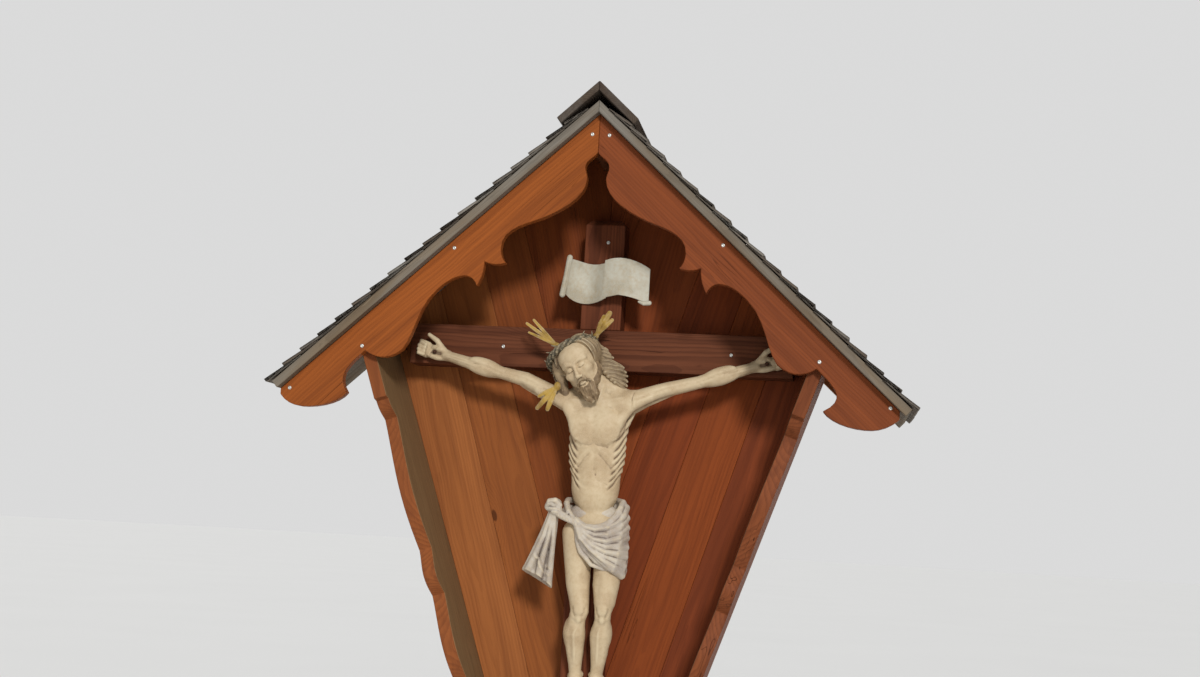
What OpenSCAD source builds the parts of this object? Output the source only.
// Wayside shrine: an open timber box under a steep gable roof, carried by the post of its own cross.
// Millimetres, +Z up, the front faces -Y, the origin is under the middle of the post's foot.
// Heights are mostly given as drops below the upper point of the scalloped bargeboards.

/* [Cross] */
// Width of the cross timbers seen from the front
timber_w = 120; // [96:1:150]
// Depth of the cross timbers from front to back
timber_d = 90; // [72:1:110]
// Drop from the bargeboards' point to the top of the post
post_drop = 262; // [240:1:320]
// Bevel round the top of the post
post_bevel = 16; // [4:1:24]
// Length of the cross beam
beam_len = 1140; // [950:5:1180]
// Drop to the middle of the cross beam
beam_drop = 652; // [620:1:700]

/* [Roof] */
// Height of the bargeboards' upper point above the ground
apex_h = 2750; // [2300:5:3300]
// Slope of the roof
roof_pitch = 43; // [41:0.5:46]
// Distance from the middle to the deck's lower edge
roof_half = 900; // [890:5:1080]
// Distance from the post's middle to the deck's front edge
roof_front = 300; // [295:1:360]
// Distance from the post's middle to the deck's rear edge
roof_back = 170; // [150:1:220]
// Thickness of the deck boards
deck_t = 24; // [18:1:30]
// Thickness of the lapped covering at a butt
cover_t = 18; // [12:1:24]
// Length of each course that stays uncovered
course_len = 66; // [50:1:90]
// Thickness of the ridge boards
cap_t = 20; // [15:1:28]
// Width of the ridge boards down the slope
cap_w = 142; // [110:1:170]
// Width of the ridge beam
ridge_w = 60; // [40:1:80]
// Height of the ridge beam
ridge_h = 92; // [70:1:104]
// Width of the eaves purlins
purlin_w = 46; // [36:1:60]
// Height of the eaves purlins
purlin_h = 56; // [44:1:66]

/* [Bargeboards] */
// Thickness of the front bargeboards
barge_t = 30; // [22:1:36]
// Distance from the post's middle to the front face of the bargeboards
barge_front = 272; // [266:1:290]
// Thickness of the plain rear bargeboards
rear_barge_t = 22; // [18:1:28]
// Height of the plain rear bargeboards
rear_barge_h = 66; // [50:1:100]
// How far the rear bargeboards stop short of the deck's lower edge
rear_barge_short = 190; // [120:1:240]

/* [Box] */
// Half-width over the side boards where their lip starts
box_half = 650; // [600:1:680]
// Slope of the side boards from upright
side_slope = 19; // [17:0.5:20]
// Thickness of the side boards
side_t = 38; // [30:1:45]
// Thickness of the back boards
back_t = 20; // [16:1:28]
// Width of one back board, measured level
back_board_w = 155; // [145:1:170]
// Slope of the joints between the back boards from upright
joint_slope = 17; // [15:0.5:19]
// First joint left of the middle, at the level where the lip starts
left_first_joint = 126; // [90:1:150]
// First joint right of the middle, at the same level
right_first_joint = 172; // [120:1:200]
// Drop to the underside of the floor board
floor_drop = 1830; // [1700:5:1900]
// Thickness of the floor board
floor_t = 30; // [22:1:36]
// Width of the battens behind the back boards
batten_w = 70; // [50:1:90]
// Thickness of the battens
batten_t = 25; // [20:1:35]

/* [Scroll] */
// Width of the scroll
scroll_w = 250; // [200:1:280]
// Height of the scroll
scroll_h = 113; // [95:1:130]
// Thickness of the carved sheet
scroll_t = 8; // [6:1:10]
// Drop to the upper edge of the scroll
scroll_drop = 394; // [380:1:410]
// Distance of the scroll's middle from the post's middle
scroll_x = 18; // [0:1:24]

/* [Hidden] */
$fn = 48;

// Clearance between pieces that meet
fit = 0.3;
// Drop at which the side boards' lip starts and their half-width is measured
lip_drop = 730;
back_face = timber_d / 2 + fit;
back_rear = back_face + back_t;
side_front = -barge_front + barge_t + fit;
sag = tan(roof_pitch);
deck_rise = deck_t / cos(roof_pitch);
larch = [0.67, 0.42, 0.24];
dark_larch = [0.42, 0.25, 0.17];
grey_wood = [0.48, 0.45, 0.41];
carved = [0.80, 0.73, 0.60];
cloth = [0.78, 0.76, 0.70];

// Point of a curve between p and q drawn by the two handles a and b
function curve_at(p, a, b, q, t) =
    pow(1 - t, 3) * p + 3 * pow(1 - t, 2) * t * a + 3 * (1 - t) * t * t * b + t * t * t * q;
// Points of that curve without its first one
function curve(p, a, b, q, steps = 7) = [for (i = [1:steps]) curve_at(p, a, b, q, i / steps)];
// Outline of the front view put upright, from y1 to y2
module upright(y1, y2) {
    translate([0, y2, 0]) rotate([90, 0, 0]) linear_extrude(y2 - y1) children();
}
module on_side(right) {
    if (right) children();
    else mirror([1, 0, 0]) children();
}

// Half-width over the side boards at a drop
function outer_half(drop) = box_half - (drop - lip_drop) * tan(side_slope);
function inner_half(drop) = outer_half(drop) - side_t / cos(side_slope);

// Region under the roof and above the underside of the box
module under_roof(clear) {
    polygon([[0, apex_h - clear], [2000, apex_h - clear - 2000 * sag],
        [2000, apex_h - floor_drop], [0, apex_h - floor_drop]]);
}

// Cross: the beam is halved into the post and flush with it
module cross_post() {
    z_top = apex_h - post_drop;
    color(dark_larch) difference() {
        translate([-timber_w / 2, -timber_d / 2, 0]) cube([timber_w, timber_d, z_top]);
        translate([-timber_w, -timber_d / 2 - 1, apex_h - beam_drop - timber_w / 2 - fit / 2])
            cube([2 * timber_w, timber_d / 2 + 1, timber_w + fit]);
        for (a = [0:90:270]) rotate(a)
            translate([(a % 180 == 0 ? timber_w : timber_d) / 2, -timber_w, z_top - post_bevel])
                rotate([0, -45, 0]) cube([timber_w, 2 * timber_w, timber_w]);
    }
}
module cross_beam() {
    color(dark_larch) translate([0, 0, apex_h - beam_drop]) difference() {
        translate([-beam_len / 2, -timber_d / 2, -timber_w / 2]) cube([beam_len, timber_d, timber_w]);
        translate([-timber_w / 2 - fit, -fit, -timber_w])
            cube([timber_w + 2 * fit, timber_d, 2 * timber_w]);
    }
}

// Section of the ridge beam, its top cut to both slopes
module ridge_section(grow = 0) {
    w = ridge_w / 2 + grow;
    top = apex_h - fit + grow;
    polygon([[0, top], [w, top - w * sag], [w, apex_h - ridge_h - grow],
        [-w, apex_h - ridge_h - grow], [-w, top - w * sag]]);
}
// Section of the right eaves purlin against the inner face of the side board
module purlin_section(grow = 0) {
    drop = roof_drop_at_side();
    face = inner_half(drop) - fit;
    x = face + grow;
    under = apex_h - x * sag - fit + grow;
    low = under - purlin_h - 2 * grow;
    polygon([[x, under], [face - purlin_w - grow, under + (x - face + purlin_w + grow) * sag],
        [face - purlin_w - grow, low], [x - (under - low) * tan(side_slope), low]]);
}
// Drop at which the inner face of the side board meets the underside of the deck
function roof_drop_at_side() =
    (inner_half(0) * sag) / (1 + tan(side_slope) * sag);

// Back boards: strips that lean with the sides, cut by the roof, the sides and the floor
function joint_at(first, k, drop) =
    first + (k - 1) * back_board_w - (drop - lip_drop) * tan(joint_slope);
module back_board(right, k) {
    first = right ? right_first_joint : left_first_joint;
    high = 0;
    low = floor_drop + 100;
    gap = fit / 2;
    color(larch) on_side(right) upright(back_face, back_rear) difference() {
        intersection() {
            under_roof(fit);
            polygon([[gap, apex_h], [inner_half(high) - fit, apex_h - high],
                [inner_half(low) - fit, apex_h - low], [gap, apex_h - low]]);
            polygon([
                [k == 1 ? gap : joint_at(first, k - 1, high) + gap, apex_h - high],
                [k == 4 ? 2000 : joint_at(first, k, high) - gap, apex_h - high],
                [k == 4 ? 2000 : joint_at(first, k, low) - gap, apex_h - low],
                [k == 1 ? gap : joint_at(first, k - 1, low) + gap, apex_h - low]]);
        }
        ridge_section(fit);
        purlin_section(fit);
    }
}

// Side boards: a lip under the bargeboard, a cove, then swells that step back towards the floor
// Each swell: drop at its start, drop at its end, set-back at its start and end, height of its bulge
swells = [
    [884, 1252, 62, 70, 46],
    [1252, 1378, 70, 84, 36],
    [1378, 1640, 84, 104, 46],
    [1640, 1764, 104, 116, 34]];
function swell(s, steps = 12) = [for (i = [1:steps]) let (t = i / steps)
    [s[2] + (s[3] - s[2]) * t - s[4] * sin(180 * pow(t, 1.25)), s[0] + (s[1] - s[0]) * t]];
module side_outline() {
    long = 1 / cos(side_slope);
    edge = concat([[0, -200], [0, 828], [18, 834]],
        curve([18, 834], [20, 856], [38, 868], [62, 884]),
        [for (s = swells) each swell(s)],
        [[116, floor_drop + 200]]);
    polygon(concat([for (p = edge) [side_front + p[0], -(p[1] - lip_drop) * long]],
        [[back_rear, -(floor_drop + 200 - lip_drop) * long], [back_rear, (lip_drop + 200) * long]]));
}
module side_board(right) {
    color(larch) on_side(right) intersection() {
        translate([inner_half(lip_drop), 0, apex_h - lip_drop])
            rotate([0, side_slope, 0]) rotate([90, 0, 90]) linear_extrude(side_t) side_outline();
        upright(side_front - 100, back_rear + 100) under_roof(fit);
    }
}

module floor_board() {
    front = side_front + swells[3][3] + 8;
    low = floor_drop;
    high = floor_drop - floor_t;
    color(larch) difference() {
        upright(front, back_face - fit)
            polygon([for (s = [-1, 1]) each [
                [s * (inner_half(s < 0 ? low : high) - fit), apex_h - (s < 0 ? low : high)],
                [s * (inner_half(s < 0 ? high : low) - fit), apex_h - (s < 0 ? high : low)]]]);
        translate([-timber_w / 2 - fit, -timber_d / 2 - fit, apex_h - low - 1])
            cube([timber_w + 2 * fit, timber_d * 2, floor_t + 2]);
    }
}

// Battens across the back, over the boards and the rear edges of the sides
module batten(drop) {
    half = outer_half(drop + batten_w) - 6;
    color(grey_wood) translate([-half, back_rear + fit, apex_h - drop - batten_w])
        cube([2 * half, batten_t, batten_w]);
}

module ridge_beam() {
    color(dark_larch) upright(side_front, roof_back - rear_barge_t - fit) ridge_section();
}
module eaves_purlin(right) {
    color(dark_larch) on_side(right)
        upright(side_front, roof_back - rear_barge_t - fit) purlin_section();
}

// Scalloped lower edge of a bargeboard: x out from the middle, drop below the upper point
// The two tails end in lobes of their own length: toe, lowest point and end
function tail(right) = right ? [[661, 820], [776, 866], [868, 822]] : [[685, 827], [800, 872], [882, 838]];
function barge_edge(right) = let (toe = tail(right)[0], low = tail(right)[1]) concat(
    [[fit / 2, 112]],
    curve([0, 112], [8, 127], [34, 134], [34, 155]),
    curve([34, 155], [34, 169], [27, 176], [27, 191]),
    curve([27, 191], [29, 240], [82, 276], [149, 306]),
    curve([149, 306], [200, 326], [266, 340], [264, 398]),
    curve([264, 398], [263, 416], [257, 430], [247, 438], 4),
    curve([247, 438], [266, 446], [292, 445], [309, 436], 5),
    curve([309, 436], [308, 462], [315, 486], [327, 507], 5),
    curve([327, 507], [334, 488], [349, 477], [367, 479], 5),
    curve([367, 479], [394, 481], [421, 500], [442, 522], 5),
    curve([442, 522], [505, 580], [500, 690], [549, 710]),
    curve([549, 710], [580, 728], [614, 724], [640, 704], 6),
    curve([640, 704], [656, 720], [674, 734], [684, 750], 4),
    curve([684, 750], [702, 770], [708, 796], toe, 6),
    curve(toe, toe + [18, 26], low - [48, 2], low, 6),
    curve(low, low + [34, 2], low + [62, -6], [tail(right)[2][0], low[1] - 32], 5));
// The scallops keep their place on the board when the roof gets wider or steeper
drawn_half = 900;
drawn_sag = tan(43);
function on_roof(p) = let (x = p[0] * roof_half / drawn_half) [x, p[1] - p[0] * drawn_sag + x * sag];
module bargeboard(right) {
    end = on_roof(tail(right)[2])[0];
    color(larch) on_side(right) upright(-barge_front, -barge_front + barge_t)
        polygon(concat([[fit / 2, apex_h - fit]],
            [for (p = barge_edge(right)) let (q = on_roof(p)) [q[0], apex_h - q[1]]],
            [[end, apex_h - end * sag - fit]]));
}
module rear_bargeboard(right) {
    end = roof_half - rear_barge_short;
    tall = rear_barge_h / cos(roof_pitch);
    color(larch) on_side(right) upright(roof_back - rear_barge_t, roof_back)
        polygon([[fit / 2, apex_h - fit], [end, apex_h - end * sag - fit],
            [end, apex_h - end * sag - tall], [fit / 2, apex_h - tall]]);
}

// Roof deck: three boards that run down the slope
module roof_deck(right) {
    depth = roof_front + roof_back + 12;
    board = depth / 3;
    color(grey_wood) on_side(right) for (k = [0:2])
        upright(-roof_front + k * board + (k > 0 ? fit : 0), -roof_front + (k + 1) * board - fit)
            polygon([[fit / 2, apex_h], [fit / 2, apex_h + deck_rise],
                [roof_half, apex_h + deck_rise - roof_half * sag],
                [roof_half - deck_t * sin(roof_pitch), apex_h - (roof_half - deck_t * sin(roof_pitch)) * sag]]);
}
// Lapped covering: each course lies on the one below it and ends in a butt
module shingles(right) {
    slope_len = roof_half / cos(roof_pitch) + 14;
    count = floor(slope_len / course_len);
    lift = deck_rise + fit;
    thin = cover_t / 3;
    steps = [for (k = [0:count - 1]) let (s = slope_len - k * course_len)
        each [[s, cover_t], [s - course_len, thin]]];
    color(grey_wood) on_side(right) upright(-roof_front - 8, roof_back + 20)
        translate([0, apex_h + lift]) intersection() {
            rotate(-roof_pitch) polygon(concat([[slope_len, 0]], steps, [[-60, thin], [-60, 0]]));
            translate([fit / 2, -2000]) square([2000, 2000 + cover_t * 2]);
        }
}
module ridge_board(right) {
    rise = (deck_t + cover_t + 2 * fit) / cos(roof_pitch);
    color(dark_larch) on_side(right) upright(-roof_front - 16, roof_back + 28)
        polygon([[fit / 2, apex_h + rise], [fit / 2, apex_h + rise + cap_t / cos(roof_pitch)],
            [cap_w * cos(roof_pitch) + cap_t * sin(roof_pitch),
                apex_h + rise - cap_w * sin(roof_pitch) + cap_t * cos(roof_pitch)],
            [cap_w * cos(roof_pitch), apex_h + rise - cap_w * sin(roof_pitch)]]);
}

// Scroll: a bare sheet in plan, rolled on the left, hollow, folded in the middle and full on the right
function scroll_line(x) = let (fold = scroll_w / 2 - 10, back = timber_d / 2 + fit + scroll_t / 2)
    x < fold ? -back - 30 * (1 - sin(180 * x / fold))
        : -back - 30 - 12 * sin(200 * (x - fold) / (scroll_w - fold));
// Front view of the scroll: the left half sags, the right half rises and droops to its corner
module scroll_front() {
    low = scroll_h;
    polygon([for (p = concat([[-120, -7]],
        curve([-120, -7], [-90, -10], [-60, 13], [-9, 5]), [[-8, -4]],
        curve([-8, -4], [35, -19], [85, -10], [130, 20], 9),
        [[130, low + 4]],
        curve([130, low + 4], [105, low + 4], [95, low - 9], [36, low - 15]),
        [[0, low - 8], [-1, low - 5]],
        curve([-1, low - 5], [-35, low + 13], [-95, low + 20], [-120, low - 12], 9)))
        [p[0] * scroll_w / 250 + scroll_x, apex_h - scroll_drop - p[1]]]);
}
module scroll() {
    steps = 30;
    roll_r = 11;
    line = [for (i = [0:steps]) let (x = scroll_w * i / steps) [x, scroll_line(x)]];
    half = [0, scroll_t / 2];
    color(cloth) intersection() {
        translate([scroll_x - scroll_w / 2, 0, apex_h - scroll_drop - 2 * scroll_h])
            linear_extrude(3 * scroll_h) union() {
                polygon(concat([for (p = line) p - half], [for (i = [0:steps]) line[steps - i] + half]));
                translate([-4, scroll_line(0) - 4]) circle(r = roll_r);
            }
        upright(-timber_d - 2 * roll_r - 30, 0) scroll_front();
    }
}

// Carved figure: rings joined by skins; depths are measured forward from the front of the cross
cross_front = -timber_d / 2;
function ring(cx, drop, rx, front, back, tilt = 0, flat = 999, count = 24) =
    [for (i = [0:count - 1])
        let (a = 360 * i / count, x = max(-flat, min(flat, rx * cos(a))))
        [cx + x, cross_front - (front + back) / 2 + (front - back) / 2 * sin(a), apex_h - drop - tilt * x]];
// Ring round a limb: centre, half-height, half-depth and lean of its plane in the front view
function limb(c, high, deep, lean, count = 16) =
    [for (i = [0:count - 1]) let (a = 360 * i / count)
        [c[0] + high * cos(a) * sin(lean), cross_front - c[1] + deep * sin(a),
            apex_h - c[2] + high * cos(a) * cos(lean)]];
module skin(rings, inside_out = false, folded_ends = false) {
    n = len(rings[0]);
    m = len(rings);
    last = (m - 1) * n;
    walls = [for (j = [0:m - 2]) for (i = [0:n - 1])
        let (a = j * n + i, b = j * n + (i + 1) % n)
        each [[a, a + n, b], [b, a + n, b + n]]];
    caps = folded_ends
        ? [for (i = [0:n / 2 - 2]) each [[i, i + 1, n - 2 - i, n - 1 - i],
            [last + i, last + n - 1 - i, last + n - 2 - i, last + i + 1]]]
        : [[for (i = [0:n - 1]) i], [for (i = [0:n - 1]) last + n - 1 - i]];
    faces = concat(walls, caps);
    polyhedron(points = [for (r = rings) each r],
        faces = inside_out ? [for (f = faces) [for (i = [len(f) - 1:-1:0]) f[i]]] : faces);
}

// The body's middle lies a little right of the post, and its back against it
body_x = 25;
shoulder = 96;
module figure_torso() {
    color(carved) skin([
        ring(27, 1150, 84, 105, fit),
        ring(26, 1100, 76, 96, 2),
        ring(24, 1050, 69, 86, 6),
        ring(23, 1000, 74, 92, 6),
        ring(22, 950, 82, 108, 4),
        ring(body_x, 900, 86, 118, fit),
        ring(body_x, 862, 98, 120, fit, 0, 90),
        ring(body_x, 838, 124, 116, fit, 0, shoulder),
        ring(body_x, 808, 124, 108, fit, 0, shoulder),
        ring(body_x, 781, 120, 99, 6, 0, shoulder),
        ring(22, 766, 62, 93, 23),
        ring(14, 754, 40, 95, 35),
        ring(4, 746, 36, 99, 41)]);
}
// The head leans to the left: beard, flat under the jaw on the neck, then rings square to the lean
head_lean = 30;
crown_at = [-58, 96, 662];
crown_rx = 72;
crown_ry = 61;
function head_ring(along, rx, ry, deep = 0) = limb(
    [crown_at[0] - along * sin(head_lean), crown_at[1] + deep, crown_at[2] - along * cos(head_lean)],
    rx, ry, 90 - head_lean, 24);
module figure_head() {
    color(carved) skin([
        ring(15, 812, 12, 142, 130),
        ring(11, 792, 26, 154, 128),
        ring(4, 768, 38, 160, 128),
        ring(-4, 745.7, 48, 162, 129),
        ring(-12, 745, 60, 162, 41),
        ring(-30, 722, 70, 163, 37, -0.28),
        head_ring(-28, crown_rx + 1, crown_ry + 1, 3),
        head_ring(-14, crown_rx, crown_ry),
        head_ring(14, crown_rx, crown_ry),
        head_ring(30, crown_rx - 9, crown_ry - 8),
        head_ring(42, crown_rx - 26, crown_ry - 24),
        head_ring(49, crown_rx - 50, crown_ry - 44)]);
}
// Arms: centre [x, depth, drop], half-height and half-depth at each ring
module figure_arm(right) {
    start = right ? body_x + shoulder + fit : -(body_x - shoulder) + fit;
    hand_out = fit + 11;
    rings = [
        limb([start, 59, 809], 27, 27, 0),
        limb([start + 28, 59, 800], 33, 33, 8),
        limb([start + 62, 58, 786], 29, 29, 14),
        limb([start + 105, 57, 771], 27, 26, 18),
        limb([start + 150, 55, 755], 25, 24, 18),
        limb([start + 196, 51, 739], 22, 22, 14),
        limb([start + 240, 47, 724], 26, 25, 14),
        limb([start + 300, 39, 706], 21, 20, 14),
        limb([start + 350, 27, 690], 15, 14, 14),
        limb([start + 385, hand_out + 2, 680], 21, 11, 14),
        limb([start + 420, hand_out, 671], 24, 11, 14),
        limb([start + 448, hand_out + 8, 664], 18, 12, 14)];
    color(carved) on_side(right) skin(rings, true);
}
module figure_left_arm() figure_arm(false);
module figure_right_arm() figure_arm(true);

// The hip cloth ends in a slanting plane, and the legs start in that plane
cloth_drop = 1236;
cloth_tilt = 0.62;
hip_x = 27;
module loincloth() {
    color(cloth) skin([
        ring(hip_x, 1150 + fit, 91, 115, fit),
        ring(hip_x, 1172, 95, 119, fit, 0.2),
        ring(hip_x, 1200, 96, 121, 2, 0.42),
        ring(hip_x, cloth_drop, 94, 123, 6, cloth_tilt)], true);
}
function leg_top(x, rx, front, back) = [for (p = ring(x, 0, rx, front, back))
    [p[0], p[1], apex_h - cloth_drop - fit - cloth_tilt * (p[0] - hip_x)]];
module leg(x, rx, stations) {
    color(carved) skin(concat([leg_top(x, rx, 113, 17)],
        [for (s = stations) ring(s[0], s[1], s[2], s[3], s[4])]), true);
}
// Each station: x, drop, half-width, and the depths of front and back
module figure_left_leg() leg(-16, 40, [
    [-15, 1270, 38, 115, 21],
    [-10, 1330, 34, 118, 34],
    [-5, 1376, 29, 121, 48],
    [-2, 1400, 28, 123, 51],
    [-7, 1428, 25, 115, 47],
    [-14, 1470, 31, 101, 29],
    [-14, 1520, 25, 84, 21],
    [-12, 1578, 19, 67, fit],
    [-11, 1610, 24, 77, fit],
    [-9, 1650, 27, 87, 39],
    [-7, 1686, 22, 89, 63]]);
module figure_right_leg() leg(70, 39, [
    [70, 1310, 38, 115, 21],
    [68, 1362, 34, 118, 36],
    [66, 1404, 29, 121, 49],
    [65, 1438, 26, 113, 45],
    [61, 1476, 30, 101, 29],
    [58, 1524, 25, 84, 21],
    [54, 1582, 19, 67, fit],
    [52, 1612, 24, 77, fit],
    [50, 1648, 26, 87, 39],
    [49, 1682, 21, 89, 63]]);

// Knot and free end of the hip cloth: a folded ring that widens to the hem
function folded(x, drop, half, thick, wave, tilt, count = 12) = let (middle = cross_front - 77) concat(
    [for (i = [0:count]) let (w = 2 * i / count - 1)
        [x + half * w, middle - thick + wave * sin(540 * w), apex_h - drop - tilt * half * w]],
    [for (i = [0:count]) let (w = 1 - 2 * i / count)
        [x + half * w, middle + thick + wave * sin(540 * w), apex_h - drop - tilt * half * w]]);
module loincloth_tail() {
    knot = hip_x - 91 - fit - 19;
    color(cloth) skin([
        folded(knot, 1104, 8, 6, 0, 0),
        folded(knot, 1114, 18, 15, 1, 0),
        folded(knot, 1130, 19.5, 17, 2, 0),
        folded(knot, 1144, 15, 12, 3, 0),
        folded(knot - 6, 1180, 21, 9, 5, 0.1),
        folded(knot - 24, 1260, 37, 8, 9, 0.3),
        folded(knot - 46, 1331, 48, 8, 12, 0.45)], true, true);
}

// Crown: two strands wound round the head, square to its lean
module thorn_crown() {
    turns = 9;
    strand = 4.8;
    wind = 5.2;
    steps = 54;
    sides = 6;
    n = steps * sides;
    color("dimgray") translate([crown_at[0], cross_front - crown_at[1], apex_h - crown_at[2]])
        rotate([0, -head_lean, 0]) for (start = [0, 180]) polyhedron(
            points = [for (i = [0:steps - 1]) for (j = [0:sides - 1])
                let (a = 360 * i / steps, b = turns * a + start, c = 360 * j / sides,
                    out = fit + wind + strand + wind * cos(b) + strand * cos(c))
                [(crown_rx + out) * cos(a), (crown_ry + out) * sin(a), wind * sin(b) + strand * sin(c)]],
            faces = [for (i = [0:steps - 1]) for (j = [0:sides - 1])
                let (a = i * sides + j, b = i * sides + (j + 1) % sides)
                each [[a, b, (a + sides) % n], [b, (b + sides) % n, (a + sides) % n]]]);
}

// Gilded rays: three fans of tapering blades
module ray_fan(x, drop, angle, len, front) {
    upright(cross_front - front, cross_front - front + 4) translate([x, apex_h - drop]) rotate(angle)
        for (k = [-1:1]) rotate(9 * k) polygon([[0, -3], [len * (1 - 0.15 * abs(k)), -6],
            [len * (1.06 - 0.15 * abs(k)), 0], [len * (1 - 0.15 * abs(k)), 6], [0, 3]]);
}
module halo_rays() {
    color("goldenrod") {
        ray_fan(-109.9, 638.7, 146, 102, 85);
        ray_fan(9, 610, 64, 59, 85);
        ray_fan(-82.2, 746, 228, 115, 107);
    }
}

cross_post();
cross_beam();
back_board(false, 1);  // left_back_board_1
back_board(false, 2);  // left_back_board_2
back_board(false, 3);  // left_back_board_3
back_board(false, 4);  // left_back_board_4
back_board(true, 1);  // right_back_board_1
back_board(true, 2);  // right_back_board_2
back_board(true, 3);  // right_back_board_3
back_board(true, 4);  // right_back_board_4
side_board(false);  // left_side_board
side_board(true);  // right_side_board
floor_board();
batten(860);  // upper_batten
batten(1240);  // middle_batten
batten(1640);  // lower_batten
ridge_beam();
eaves_purlin(false);  // left_eaves_purlin
eaves_purlin(true);  // right_eaves_purlin
bargeboard(false);  // left_bargeboard
bargeboard(true);  // right_bargeboard
rear_bargeboard(false);  // left_rear_bargeboard
rear_bargeboard(true);  // right_rear_bargeboard
roof_deck(false);  // left_roof_deck
roof_deck(true);  // right_roof_deck
shingles(false);  // left_shingles
shingles(true);  // right_shingles
ridge_board(false);  // left_ridge_board
ridge_board(true);  // right_ridge_board
scroll();
figure_torso();
figure_head();
figure_left_arm();
figure_right_arm();
figure_left_leg();
figure_right_leg();
loincloth();
loincloth_tail();
thorn_crown();
halo_rays();
